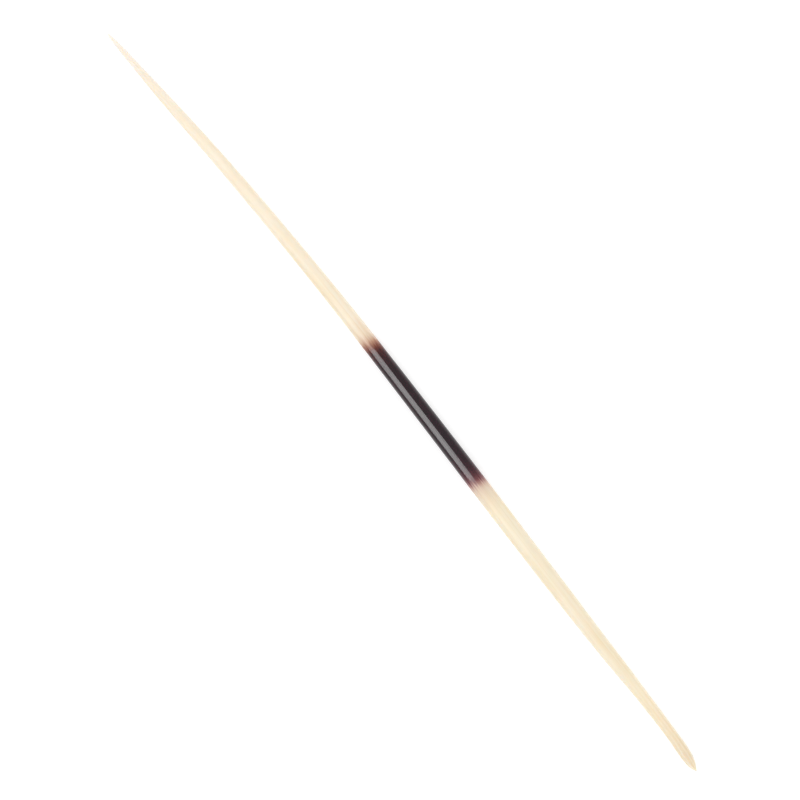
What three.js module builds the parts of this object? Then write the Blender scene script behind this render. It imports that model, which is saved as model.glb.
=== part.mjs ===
import * as THREE from 'three';

// A porcupine quill, shed whole: one long spindle with a needle point, a slim neck and a small pointed
// root. It lies at rest on a flat surface. It touches the surface at three places along its underside,
// and its needle point and its root stand just clear.
// Millimetres, +Z up, +X towards the needle point. The origin is the middle of the quill's box, at the
// height of the surface.

// Driving dimensions. Distances along the quill are counted from the needle point.
const quillLength = 300;
const needleRadius = 0.12;
const bellyRadius = 2.94;
const bellyPlace = 190;
const shoulderPlace = 262;
const shoulderRadius = 2.27;
const neckRadius = 1.79;
const neckPlace = 285.5;
const rootRadius = 1.9;
const rootPlace = 292.3;
const rootPointRadius = 0.22;

// How the quill lies. The underside touches the surface at these distances from the needle point.
// Between them it stands clear of the surface by the middle clearance at most. Towards the needle
// point it lifts to the needle clearance. Beyond the shoulder the middle line of the quill runs on
// level, and rises by the root rise at the root's end.
const touchingPlaces = [62, 150, shoulderPlace];
const middleClearance = 0.3;
const needleClearance = 1.0;
const rootRise = 0.3;

// The section is a polygon whose corners lie at the quill's own radius, and one corner points down.
const sides = 24;
const ringsPerStretch = 6;

// The outline, as [distance from the needle point, radius].
const outline = [
  [0, 0],
  [0.4, needleRadius],
  [6, 0.72],
  [14, 1.1],
  [30, 1.67],
  [62, 2.12],
  [107, 2.49],
  [150, 2.79],
  [bellyPlace, bellyRadius],
  [226, 2.8],
  [252, 2.48],
  [shoulderPlace, shoulderRadius],
  [268, 2.04],
  [276, 1.91],
  [neckPlace, neckRadius],
  [rootPlace, rootRadius],
  [296, 1.63],
  [298.2, 1.03],
  [quillLength - 0.25, rootPointRadius],
  [quillLength, 0],
];

// The quill is a little bowed towards -Y. The bow is seen from above here, as [distance from the needle
// point, distance off the straight line].
const bow = [
  [0, 0],
  [25, 1.15],
  [60, 2.95],
  [108, 3.88],
  [160, 3.25],
  [215, 2.1],
  [245, 1.6],
  [275, 1.4],
  [290, 0.9],
  [quillLength, 0],
];

function smoothCurve(points) {
  const corners = points.map(([along, off]) => new THREE.Vector3(along, off, 0));
  return new THREE.CatmullRomCurve3(corners, false, 'centripetal');
}

// The bow at one distance along the quill, read from points spaced closely along its curve.
function makeBowReader() {
  const steps = 600;
  const points = smoothCurve(bow).getPoints(steps);
  return (along) => {
    const after = Math.max(1, points.findIndex((point) => point.x >= along));
    const [low, high] = [points[after - 1], points[after]];
    return THREE.MathUtils.mapLinear(along, low.x, high.x, low.y, high.y);
  };
}

// The height of the quill's middle line over the surface, where the quill has the radius given.
function heightOverSurface(along, radius) {
  const [first, middle, last] = touchingPlaces;
  if (along > last) {
    return shoulderRadius + rootRise * ((along - last) / (quillLength - last)) ** 2;
  }
  if (along < first) {
    return radius + needleClearance * (1 - along / first) ** 2;
  }
  const [from, to] = along < middle ? [first, middle] : [middle, last];
  return radius + middleClearance * Math.sin((Math.PI * (along - from)) / (to - from)) ** 2;
}

function makeQuillGeometry() {
  const stretches = outline.length - 1;
  const profile = smoothCurve(outline)
    .getPoints(stretches * ringsPerStretch)
    .map((point) => new THREE.Vector2(Math.max(0, point.y), point.x));
  const geometry = new THREE.LatheGeometry(profile, sides);

  // The lathe turns about Y. Each of its points is laid along X, moved off the straight line and
  // raised with the middle line.
  const bowAt = makeBowReader();
  const place = geometry.attributes.position;
  for (let i = 0; i < place.count; i += 1) {
    const along = place.getY(i);
    const radius = Math.hypot(place.getX(i), place.getZ(i));
    const y = place.getX(i) - bowAt(along);
    const z = place.getZ(i) + heightOverSurface(along, radius);
    place.setXYZ(i, quillLength - along, y, z);
  }

  geometry.computeBoundingBox();
  const { min, max } = geometry.boundingBox;
  geometry.translate(-(min.x + max.x) / 2, -(min.y + max.y) / 2, -min.z);
  geometry.computeVertexNormals();
  return geometry;
}

// Keratin: cream ivory, with the soft shine of horn.
const keratin = new THREE.MeshStandardMaterial({
  color: 0xf5e8cc,
  roughness: 0.35,
  metalness: 0,
});

const quill = new THREE.Mesh(makeQuillGeometry(), keratin);
quill.name = 'quill';

const object = new THREE.Group();
object.add(quill);

export default object;
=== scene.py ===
import bisect
import math

import bpy
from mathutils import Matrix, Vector, noise


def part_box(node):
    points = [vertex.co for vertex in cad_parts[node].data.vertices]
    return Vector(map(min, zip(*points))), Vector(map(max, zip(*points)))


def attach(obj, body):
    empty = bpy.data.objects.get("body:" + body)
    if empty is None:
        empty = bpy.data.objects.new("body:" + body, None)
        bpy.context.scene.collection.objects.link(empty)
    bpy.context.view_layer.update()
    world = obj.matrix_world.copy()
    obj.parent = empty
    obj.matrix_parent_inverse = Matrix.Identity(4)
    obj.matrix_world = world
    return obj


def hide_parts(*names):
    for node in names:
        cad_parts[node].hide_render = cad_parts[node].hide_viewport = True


# A porcupine quill, lying on a pale floor as it comes to rest there.
# Metres, +Z up, +X towards the needle point. "Along" is the distance from the needle point.

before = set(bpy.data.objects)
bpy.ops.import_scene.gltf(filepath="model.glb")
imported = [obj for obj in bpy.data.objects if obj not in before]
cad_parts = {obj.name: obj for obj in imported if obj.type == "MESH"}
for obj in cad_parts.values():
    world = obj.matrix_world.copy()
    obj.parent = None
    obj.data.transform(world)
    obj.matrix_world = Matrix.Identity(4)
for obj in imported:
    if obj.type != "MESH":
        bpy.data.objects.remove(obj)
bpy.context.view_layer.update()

MM = 0.001
LOW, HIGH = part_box("quill")
NEEDLE_X = HIGH.x
LENGTH = HIGH.x - LOW.x

# The skin of the quill. The frame's quill has flat sides, and their corners lie at the true radius. Its
# points that are nearer together along it than the gap make one ring.
COLUMNS = 44
SMOOTHINGS = 2
RING_GAP = 0.002 * MM

# Fine flutes run the whole way, one to each column, and fade out where the quill gets slim. The share
# of their depth that is cut changes slowly, over about this length and so many times round. It keeps
# within the spread of the middle share, and doesn't fall below the least one.
FLUTES = COLUMNS
FLUTE_DEPTH = 0.022 * MM
FLUTELESS_RADIUS = 0.5 * MM
FLUTED_RADIUS = 1.5 * MM
FLUTE_LENGTH, FLUTE_CHANGES = 40 * MM, 4
FLUTE_MIDDLE, FLUTE_SPREAD, FLUTE_LEAST = 0.6, 0.7, 0.15

# The root: a slim neck, then a small blunt spear that is a little flatter than it is wide. Its dried
# skin is creased, in long creases that take this share of the depth and in finer ones that take the
# rest. The higher their sharpness, the narrower they are.
SHOULDER = 262 * MM
NECK = 284 * MM
ROOT_SWELL = 292.3 * MM
ROOT_FLATNESS = 0.12
WRINKLE_DEPTH = 0.10 * MM
WRINKLE_TWIST = 0.09
WRINKLED_RADIUS = 1.2 * MM
CREASE_LENGTH, CREASE_CHANGES, CREASE_SHARPNESS, CREASE_SHARE = 9 * MM, 2.4, 3.2, 0.75
FINE_LENGTH, FINE_CHANGES, FINE_SHARPNESS, FINE_SHIFT = 4 * MM, 6, 3, 7

# Slow rises and hollows in the skin, about this long. The hollows are this deep at most.
HOLLOW_LENGTH = 14 * MM
HOLLOW_DEPTH = 0.05 * MM

# The quill's own map lays its skin out in strips, with a margin round each as a share of it. The
# quill's two points lie nearer to its middle line than the reach.
STRIPS = 4
STRIP_MARGIN = 0.02
POINT_REACH = 1e-7

# The dark band. Its stain rises from 0 in clear horn to 1 and falls to 0 again, at these places in
# millimetres along. Both ends are this much aslant to each side.
STAIN_RISES = (
    (120.0, 0.0), (126.4, 0.016), (127.5, 0.026), (128.6, 0.055), (129.7, 0.11), (130.8, 0.20),
    (131.9, 0.33), (133.0, 0.50), (134.5, 0.70), (137.0, 0.90), (142.0, 1.0),
)
STAIN_FALLS = (
    (174.0, 1.0), (179.0, 0.78), (181.0, 0.62), (183.0, 0.43), (184.1, 0.33), (184.9, 0.24),
    (185.7, 0.155), (186.5, 0.085), (187.4, 0.045), (188.5, 0.028), (190.5, 0.014), (196.0, 0.0),
)
BAND_START, BAND_END = STAIN_RISES[0][0] * MM, STAIN_FALLS[-1][0] * MM
BAND_MIDDLE = 160 * MM
BAND_SLANT = 0.55 * MM

# The stain frays by these lengths, in short mottles where it sets in and in long streaks where it
# ends. Both are given as their length and their number round the quill.
RISE_FRAY, FALL_FRAY = 3.5 * MM, 5 * MM
MOTTLE_LENGTH, MOTTLES = 4 * MM, 34
STREAK_LENGTH, STREAKS = 11 * MM, 44

# The stain is brown where it sets in and redder where it ends, and it turns from one to the other
# within this length on each side of the band's middle. Each colour is how strongly it takes out red,
# green and blue light, and full stain is so many times as deep. Below them stand the darkest it gets
# and the shares of full stain that its colours are worked out for.
STAIN_TURN = 10 * MM
STAIN_DEPTH = 8.0
BROWN = (0.57, 1.00, 1.15)
RED_BROWN = (0.62, 1.00, 0.87)
DARKEST = (0.008, 0.002, 0.009)
STAIN_STEPS = (0, 0.012, 0.03, 0.06, 0.11, 0.18, 0.28, 0.42, 0.62, 1)


def smooth_share(value, start, end):
    """0 at the start, 1 at the end, and an even S between them."""
    share = min(1, max(0, (value - start) / (end - start)))
    return share * share * (3 - 2 * share)


# ---------------------------------------------------------------- the frame's rings


def read_rings(node):
    """The frame's quill, ring by ring from the root to the needle point, as (centre, radius)."""
    points = sorted((vertex.co for vertex in node.data.vertices), key=lambda point: point.x)
    groups = [[points[0]]]
    for point in points[1:]:
        if point.x - groups[-1][-1].x < RING_GAP:
            groups[-1].append(point)
        else:
            groups.append([point])
    rings = []
    for group in groups:
        low = Vector([min(point[axis] for point in group) for axis in range(3)])
        high = Vector([max(point[axis] for point in group) for axis in range(3)])
        rings.append(((low + high) / 2, (high.z - low.z) / 2))
    return rings


RINGS = read_rings(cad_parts["quill"])
RING_PLACES = [centre.x for centre, radius in RINGS]


def axis_at(x):
    """The centre and radius of the quill at one place on X, between two of the frame's rings."""
    after = min(max(1, bisect.bisect_left(RING_PLACES, x)), len(RINGS) - 1)
    (low, slim), (high, wide) = RINGS[after - 1], RINGS[after]
    share = (x - low.x) / (high.x - low.x)
    return low.lerp(high, share), slim + (wide - slim) * share


def place_of(point):
    """Where a point lies on the quill: along it, round it and how thick the quill is there."""
    centre, radius = axis_at(point.x)
    angle = math.atan2(point.z - centre.z, point.y - centre.y)
    return NEEDLE_X - point.x, angle, radius


# ---------------------------------------------------------------- the quill's shape


def finish_with(obj, kind, **settings):
    """Adds a modifier to the active object, sets it and applies it."""
    modifier = obj.modifiers.new(kind.lower(), kind)
    for name, value in settings.items():
        setattr(modifier, name, value)
    bpy.ops.object.modifier_apply(modifier=modifier.name)


def drawn_ring(centre, radius):
    """One ring as it is drawn: its centre, half its width and half its height. The root is flattened."""
    along = NEEDLE_X - centre.x
    flatness = 1 - ROOT_FLATNESS * smooth_share(along, NECK, ROOT_SWELL)
    return centre, radius, radius * flatness


def draw_out_skin():
    """The skin, drawn out ring by ring from the root to the needle, and closed to a point at both ends."""
    # A ring of straight edges shrinks when it is smoothed, so each is drawn that much wider.
    swell = 3 / (2 + math.cos(2 * math.pi / COLUMNS))
    rings = [drawn_ring(centre, radius) for centre, radius in RINGS]
    root_point, needle_point = rings[0][0], rings[-1][0]
    first, width, height = rings[1]

    bpy.ops.object.select_all(action="DESELECT")
    bpy.ops.mesh.primitive_circle_add(
        vertices=COLUMNS, radius=width * swell, fill_type="NOTHING",
        location=first, rotation=(0, math.radians(90), 0),
    )
    skin = bpy.context.object
    skin.name = "quill_shaft"
    bpy.ops.object.transform_apply()
    bpy.ops.object.mode_set(mode="EDIT")
    bpy.ops.mesh.select_all(action="SELECT")
    bpy.ops.transform.resize(value=(1, 1, height / width), center_override=first)

    # From here each step draws the open edge on to the next ring.
    bpy.ops.mesh.select_mode(type="VERT")
    here, wide, high = rings[1]
    for there, wider, higher in rings[2:-1]:
        bpy.ops.mesh.extrude_region_move(TRANSFORM_OT_translate={"value": there - here})
        bpy.ops.transform.resize(value=(1, wider / wide, higher / high), center_override=there)
        here, wide, high = there, wider, higher
    bpy.ops.mesh.extrude_region_move(TRANSFORM_OT_translate={"value": needle_point - here})
    bpy.ops.mesh.merge(type="CENTER")

    # The root's first ring is still open.
    bpy.ops.mesh.select_all(action="DESELECT")
    bpy.ops.mesh.select_non_manifold(extend=False)
    bpy.ops.mesh.extrude_region_move(TRANSFORM_OT_translate={"value": root_point - first})
    bpy.ops.mesh.merge(type="CENTER")

    bpy.ops.mesh.select_all(action="SELECT")
    bpy.ops.mesh.normals_make_consistent(inside=False)
    bpy.ops.object.mode_set(mode="OBJECT")
    finish_with(skin, "SUBSURF", levels=SMOOTHINGS, render_levels=SMOOTHINGS)
    return skin


def noise_round(along, angle, length, changes, shift=0):
    """Smooth noise over the skin, of about that length along it and with so many changes round it."""
    return noise.noise(Vector((along / length, changes * math.cos(angle), changes * math.sin(angle) + shift)))


def flute_share(along, angle, radius):
    """How deep the skin is cut at a point: 0 on the crest of a flute and up to 1 between two."""
    trough = 0.5 - 0.5 * math.cos(FLUTES * angle)
    fade = smooth_share(radius, FLUTELESS_RADIUS, FLUTED_RADIUS) * (1 - smooth_share(along, SHOULDER, NECK))
    share = FLUTE_MIDDLE + FLUTE_SPREAD * noise_round(along, angle, FLUTE_LENGTH, FLUTE_CHANGES)
    return trough * fade * min(1, max(FLUTE_LEAST, share))


def wrinkle_share(along, angle, radius):
    """How deep the dried skin of the root is drawn in, in creases that run a little aslant."""
    dried = smooth_share(along, NECK, ROOT_SWELL)
    slant = angle + WRINKLE_TWIST * (along - NECK) / MM
    crease = noise_round(along, slant, CREASE_LENGTH, CREASE_CHANGES)
    fine = noise_round(along, slant, FINE_LENGTH, FINE_CHANGES, FINE_SHIFT)
    long_cut = (1 - min(1, abs(crease) * CREASE_SHARPNESS)) ** 2
    fine_cut = (1 - min(1, abs(fine) * FINE_SHARPNESS)) ** 2
    depth = long_cut * CREASE_SHARE + fine_cut * (1 - CREASE_SHARE)
    return dried * depth * min(1, radius / WRINKLED_RADIUS)


def press_in(skin, name, share_at, depth):
    """Presses the skin in along its normals, by that depth times each point's share."""
    group = skin.vertex_groups.new(name=name)
    for vertex in skin.data.vertices:
        group.add([vertex.index], share_at(*place_of(vertex.co)), "REPLACE")
    finish_with(skin, "DISPLACE", strength=-depth, mid_level=0, vertex_group=name)
    skin.vertex_groups.remove(skin.vertex_groups[name])


def make_uneven(skin):
    """Slow rises and hollows, as nothing that grows is quite even. They only go inwards."""
    clouds = bpy.data.textures.new("slow_unevenness", "CLOUDS")
    clouds.noise_scale = HOLLOW_LENGTH
    finish_with(
        skin, "DISPLACE", texture=clouds, texture_coords="LOCAL", strength=HOLLOW_DEPTH, mid_level=1,
    )


def mark_places(skin):
    """Each point's place on the quill, for the keratin: along it, and the direction round it."""
    places = skin.data.attributes.new("quill_place", "FLOAT_VECTOR", "POINT")
    for vertex, mark in zip(skin.data.vertices, places.data):
        along, angle, radius = place_of(vertex.co)
        mark.vector = (along, math.cos(angle), math.sin(angle))


def lay_out_strips(skin):
    """The quill's own map: equal lengths of skin, each unrolled, one above the other."""
    strip_length = LENGTH / STRIPS
    filled = 1 - 2 * STRIP_MARGIN
    layer = skin.data.uv_layers.new(name="OFBake")
    for face in skin.data.polygons:
        along, middle, radius = place_of(face.center)
        strip = min(STRIPS - 1, int(along / strip_length))
        for corner in face.loop_indices:
            vertex = skin.data.vertices[skin.data.loops[corner].vertex_index]
            reach, angle, radius = place_of(vertex.co)
            at_point = (vertex.co.xz - axis_at(vertex.co.x)[0].xz).length < POINT_REACH
            turn = middle if at_point else middle + (angle - middle + math.pi) % (2 * math.pi) - math.pi
            u = STRIP_MARGIN + filled * (reach - strip * strip_length) / strip_length
            v = STRIP_MARGIN + filled * (turn + math.pi) / (2 * math.pi)
            layer.uv[corner].vector = (u, (strip + v) / STRIPS)


# ---------------------------------------------------------------- the keratin


def add_node(tree, kind, feeds=(), **settings):
    """A node with its settings. Its inputs are fed with plain values or with other nodes' outputs."""
    made = tree.nodes.new(kind)
    for name, value in settings.items():
        setattr(made, name, value)
    for name, value in dict(feeds).items():
        if isinstance(value, bpy.types.NodeSocket):
            tree.links.new(value, made.inputs[name])
        else:
            made.inputs[name].default_value = value
    return made


def reckon(tree, operation, first, second=0.0, clamp=False):
    """The result of one piece of arithmetic."""
    sum_node = add_node(tree, "ShaderNodeMath", {0: first, 1: second}, operation=operation, use_clamp=clamp)
    return sum_node.outputs[0]


def ease(tree, value, start, end, least=0.0, most=1.0):
    """The least at the start, the most at the end, and an even S between them."""
    ranged = add_node(
        tree, "ShaderNodeMapRange",
        {"Value": value, "From Min": start, "From Max": end, "To Min": least, "To Max": most},
        interpolation_type="SMOOTHSTEP",
    )
    return ranged.outputs[0]


def fibres(tree, place, length, count, shift=0.0, detail=2.0):
    """Streaks that run along the quill: about that long, and about that many of them round it."""
    radius = count / (2 * math.pi)
    stretched = add_node(
        tree, "ShaderNodeMapping",
        {"Vector": place, "Location": (shift, shift, shift), "Scale": (1 / length, radius, radius)},
    )
    streaks = add_node(
        tree, "ShaderNodeTexNoise", {"Vector": stretched.outputs[0], "Scale": 1.0, "Detail": detail},
    )
    return streaks.outputs[0]


def ramp(tree, value, stops):
    """A run of colours, as (place, colour), read at a value from 0 to 1."""
    made = add_node(tree, "ShaderNodeValToRGB", {0: value})
    elements = made.color_ramp.elements
    elements.remove(elements[1])
    for number, (place, colour) in enumerate(stops):
        element = elements[0] if number == 0 else elements.new(place)
        element.position = place
        element.color = (*colour, 1)
    return made.outputs[0]


def tint(tree, share, under, over, blend="MULTIPLY"):
    """One colour laid over another, by that share."""
    mixed = add_node(tree, "ShaderNodeMix", data_type="RGBA", blend_type=blend)
    for name, value in ((0, share), (6, under), (7, over)):
        if isinstance(value, bpy.types.NodeSocket):
            tree.links.new(value, mixed.inputs[name])
        else:
            mixed.inputs[name].default_value = value if name == 0 else (*value, 1)
    return mixed.outputs[2]


def stain(tree, place, along, across):
    """How deep the band's stain lies, 0 in clear horn and 1 in the dark, and how red-brown it is there."""
    late = ease(tree, along, BAND_MIDDLE - STAIN_TURN, BAND_MIDDLE + STAIN_TURN)
    mottles = fibres(tree, place, MOTTLE_LENGTH, MOTTLES, shift=5.0, detail=3.0)
    streaks = fibres(tree, place, STREAK_LENGTH, STREAKS, shift=17.0, detail=3.0)
    reach = reckon(tree, "ADD", along, reckon(tree, "MULTIPLY", across, BAND_SLANT))
    for marks, early_fray, late_fray in ((mottles, RISE_FRAY, 0), (streaks, 0, FALL_FRAY)):
        fray = ease(tree, late, 0, 1, early_fray, late_fray)
        shift = reckon(tree, "MULTIPLY", reckon(tree, "SUBTRACT", marks, 0.5), fray)
        reach = reckon(tree, "ADD", reach, shift)
    spread = add_node(
        tree, "ShaderNodeMapRange", {"Value": reach, "From Min": BAND_START, "From Max": BAND_END},
    )
    depths = [
        ((at * MM - BAND_START) / (BAND_END - BAND_START), (depth, depth, depth))
        for at, depth in STAIN_RISES + STAIN_FALLS
    ]
    return ramp(tree, spread.outputs[0], depths), late


def stain_colours(absorbs):
    """The share of the clear horn's light that is left at each depth of stain."""
    colours = []
    for depth in STAIN_STEPS:
        shares = [math.exp(-depth * STAIN_DEPTH * absorb) for absorb in absorbs]
        colours.append((depth, [dark + (1 - dark) * share for dark, share in zip(DARKEST, shares)]))
    return colours


# The clear horn's colour from the needle point, 0, to the root's end, 1.
HORN_COLOURS = (
    (0.00, (0.74, 0.68, 0.66)),
    (0.08, (0.77, 0.715, 0.645)),
    (0.15, (0.775, 0.715, 0.615)),
    (0.22, (0.775, 0.71, 0.595)),
    (0.40, (0.775, 0.715, 0.60)),
    (0.64, (0.765, 0.70, 0.56)),
    (0.80, (0.77, 0.71, 0.585)),
    (0.90, (0.755, 0.69, 0.55)),
    (0.95, (0.73, 0.655, 0.52)),
    (1.00, (0.71, 0.65, 0.55)),
)

# Streaks that run along the horn, as their length and their number round it: fine fibres, broad ones
# and cloudy patches.
FINE_FIBRES = (30 * MM, 110)
BROAD_FIBRES = (45 * MM, 26)
CLOUDY_PATCHES = (16 * MM, 5)

# What they do to its colour: the streaks' value where that starts and where it is full, the most of it
# that is laid on, and the colour itself.
CLOUDY_CAST = (0.35, 0.75, 0.5, (0.97, 0.94, 0.86))
BROAD_CAST = (0.45, 0.70, 0.6, (0.95, 0.90, 0.80))
FINE_CAST = (0.50, 0.72, 0.5, (0.90, 0.82, 0.68))

# The root's skin has dried, from the one place to the other, and its broad fibres show in this colour.
DRIED_FROM, DRIED_TO = 283 * MM, 297 * MM
DRIED_FAINT, DRIED_FULL = 0.42, 0.62
DRIED_CAST = (0.95, 0.92, 0.86)

# The shine. The horn gets smoother as the stain deepens, from the one depth to the other. Towards the
# root and where fibres show it gets rougher by so much.
CLEAR_ROUGHNESS, STAINED_ROUGHNESS = 0.34, 0.13
SHINE_FROM, SHINE_TO = 0.05, 0.5
DULL_FROM, DULL_TO, DULLNESS = 272 * MM, 294 * MM, 0.16
FIBRE_FAINT, FIBRE_FULL, FIBRE_DULLNESS = 0.3, 0.7, 0.07

# The fibres stand a little proud, the broad ones by a share of what the fine ones do.
FIBRE_RELIEF, RELIEF_STRENGTH = 0.012 * MM, 0.35
BROAD_RELIEF_SHARE = 0.5

# How light goes into horn and spreads in it, less far for green and blue than for red.
HORN_IOR = 1.46
SCATTER_WEIGHT = 0.9
SCATTER_REACH = 3.0 * MM
SCATTER_SHARES = (1.0, 0.85, 0.65)


def lay_on(tree, horn, streaks, start, full, most, cast):
    """The horn with one kind of streak laid on in its own cast of colour."""
    return tint(tree, ease(tree, streaks, start, full, 0.0, most), horn, cast)


def make_keratin():
    """Horn: clear cream with fine fibres, stained brown-black in the band, with a soft shine."""
    material = bpy.data.materials.new("keratin")
    material.use_nodes = True
    tree = material.node_tree
    skin = tree.nodes["Principled BSDF"]

    place = add_node(tree, "ShaderNodeAttribute", attribute_name="quill_place").outputs["Vector"]
    parts = add_node(tree, "ShaderNodeSeparateXYZ", {0: place})
    along, across = parts.outputs[0], parts.outputs[1]

    fine = fibres(tree, place, *FINE_FIBRES, shift=3.0)
    broad = fibres(tree, place, *BROAD_FIBRES, shift=11.0)
    clouds = fibres(tree, place, *CLOUDY_PATCHES, shift=23.0)

    # The clear horn yellows towards the root, unevenly, and its fibres show a little.
    horn = ramp(tree, reckon(tree, "DIVIDE", along, LENGTH), HORN_COLOURS)
    horn = lay_on(tree, horn, clouds, *CLOUDY_CAST)
    horn = lay_on(tree, horn, broad, *BROAD_CAST)
    horn = lay_on(tree, horn, fine, *FINE_CAST)
    dried = ease(tree, along, DRIED_FROM, DRIED_TO)
    dried_streaks = reckon(tree, "MULTIPLY", dried, ease(tree, broad, DRIED_FAINT, DRIED_FULL))
    horn = tint(tree, dried_streaks, horn, DRIED_CAST)

    depth, late = stain(tree, place, along, across)
    brown = ramp(tree, depth, stain_colours(BROWN))
    red_brown = ramp(tree, depth, stain_colours(RED_BROWN))
    stained = tint(tree, late, brown, red_brown, "MIX")
    tree.links.new(tint(tree, 1.0, horn, stained), skin.inputs["Base Color"])

    # The stained horn is shiny, the clear horn has a softer shine, and the dried root is the dullest.
    shine = ease(tree, depth, SHINE_FROM, SHINE_TO, CLEAR_ROUGHNESS, STAINED_ROUGHNESS)
    dull = reckon(tree, "ADD", shine, ease(tree, along, DULL_FROM, DULL_TO, 0.0, DULLNESS))
    uneven = reckon(tree, "ADD", dull, ease(tree, fine, FIBRE_FAINT, FIBRE_FULL, 0.0, FIBRE_DULLNESS))
    tree.links.new(uneven, skin.inputs["Roughness"])

    ridges = reckon(tree, "ADD", fine, reckon(tree, "MULTIPLY", broad, BROAD_RELIEF_SHARE))
    relief = add_node(
        tree, "ShaderNodeBump", {"Height": ridges, "Strength": RELIEF_STRENGTH, "Distance": FIBRE_RELIEF},
    )
    tree.links.new(relief.outputs[0], skin.inputs["Normal"])

    skin.inputs["IOR"].default_value = HORN_IOR
    skin.inputs["Subsurface Weight"].default_value = SCATTER_WEIGHT
    skin.inputs["Subsurface Radius"].default_value = SCATTER_SHARES
    skin.inputs["Subsurface Scale"].default_value = SCATTER_REACH
    return material


# ---------------------------------------------------------------- floor, light and camera

# The view is set out in points on a sheet 800 points square. The quill's ends stand at these spots on
# it, and the view takes in the square round the middle between them that has this side. The lens and
# the sensor are in millimetres.
NEEDLE_SPOT = (406.3, 20.6)
ROOT_SPOT = (747.1, 447.2)
VIEW_SIDE = 460
LENS, SENSOR = 100, 36

FLOOR_SIZE = 8
FLOOR_SHADE = 0.5
FLOOR_GLOW = 0.58
FLOOR_ROUGHNESS, FLOOR_GLOSS = 0.9, 0.1

# The key softbox reaches from the one angle to the other, in degrees from straight up, and stands a
# little towards the needle point. A box's glow is how bright its face is.
KEY_LOW, KEY_HIGH = 63, 3
KEY_DISTANCE = 1.2
KEY_SHIFT = 12 * MM
KEY_SIZE = 0.20
KEY_GLOW = 7.6
ROOM_GLOW = 0.73

# Two fill boxes stand beyond the quill's ends, on the outer side of its bow. The direction is that of
# the one beyond the needle point.
FILL_DIRECTION = (0.75, -0.50, 0.43)
FILL_DISTANCE = 2.4
FILL_SIZE = 1.2
FILL_GLOW = 2.6


def make_floor():
    """A pale floor, lit from inside as a light table is."""
    bpy.ops.object.select_all(action="DESELECT")
    bpy.ops.mesh.primitive_plane_add(size=FLOOR_SIZE)
    floor = bpy.context.object
    floor.name = "floor"
    pale = bpy.data.materials.new("pale_floor")
    pale.use_nodes = True
    surface = pale.node_tree.nodes["Principled BSDF"]
    surface.inputs["Base Color"].default_value = (FLOOR_SHADE, FLOOR_SHADE, FLOOR_SHADE, 1)
    surface.inputs["Roughness"].default_value = FLOOR_ROUGHNESS
    surface.inputs["Specular IOR Level"].default_value = FLOOR_GLOSS
    surface.inputs["Emission Color"].default_value = (1, 1, 1, 1)
    surface.inputs["Emission Strength"].default_value = FLOOR_GLOW
    floor.data.materials.append(pale)


def add_softbox(name, direction, distance, width, height, glow, aim=Vector((0, 0, 0))):
    """A flat box of even light that faces the aim. Its height lies in the plane of its direction and Z."""
    away = Vector(direction).normalized()
    turn = away.to_track_quat("Z", "Y").to_euler()
    bpy.ops.object.light_add(type="AREA", location=aim + away * distance, rotation=turn)
    box = bpy.context.object
    box.name = name
    box.data.shape = "RECTANGLE"
    box.data.size = width
    box.data.size_y = height
    box.data.energy = glow * math.pi * width * height
    box.visible_camera = False


def light_studio():
    """One long softbox over the quill's inner side and two fill boxes, in an evenly pale room."""
    middle = math.radians((KEY_LOW + KEY_HIGH) / 2)
    half_span = math.radians((KEY_LOW - KEY_HIGH) / 2)
    add_softbox(
        "key_softbox", (0, math.sin(middle), math.cos(middle)), KEY_DISTANCE,
        KEY_SIZE, 2 * KEY_DISTANCE * math.tan(half_span), KEY_GLOW, aim=Vector((KEY_SHIFT, 0, 0)),
    )
    for side in (-1, 1):
        across, back, up = FILL_DIRECTION
        name = "fill_softbox_root" if side < 0 else "fill_softbox_needle"
        add_softbox(name, (side * across, back, up), FILL_DISTANCE, FILL_SIZE, FILL_SIZE, FILL_GLOW)

    room = bpy.data.worlds.new("pale_room")
    room.use_nodes = True
    room.node_tree.nodes["Background"].inputs["Color"].default_value = (1, 1, 1, 1)
    room.node_tree.nodes["Background"].inputs["Strength"].default_value = ROOM_GLOW
    bpy.context.scene.world = room
    bpy.context.scene.view_settings.view_transform = "Standard"


def place_camera():
    """Looks straight down on the middle of the quill, turned so that it lies from corner to corner."""
    right = ROOT_SPOT[0] - NEEDLE_SPOT[0]
    down = ROOT_SPOT[1] - NEEDLE_SPOT[1]
    point_size = LENGTH / math.hypot(right, down)
    distance = VIEW_SIDE * point_size * LENS / SENSOR
    needle, root = RINGS[-1][0], RINGS[0][0]
    middle = (needle + root) / 2
    turn = math.atan2(-down, right) - math.atan2(root.y - needle.y, root.x - needle.x)
    bpy.ops.object.camera_add(location=(middle.x, middle.y, middle.z + distance), rotation=(0, 0, -turn))
    camera = bpy.context.object
    camera.data.lens = LENS
    camera.data.sensor_width = SENSOR
    camera.data.clip_start = 0.01
    bpy.context.scene.camera = camera


# ---------------------------------------------------------------- making it

quill = draw_out_skin()
press_in(quill, "flutes", flute_share, FLUTE_DEPTH)
press_in(quill, "wrinkles", wrinkle_share, WRINKLE_DEPTH)
make_uneven(quill)
mark_places(quill)
lay_out_strips(quill)
bpy.ops.object.shade_smooth()
quill.data.materials.append(make_keratin())
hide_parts("quill")
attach(quill, "root")

make_floor()
light_studio()
place_camera()
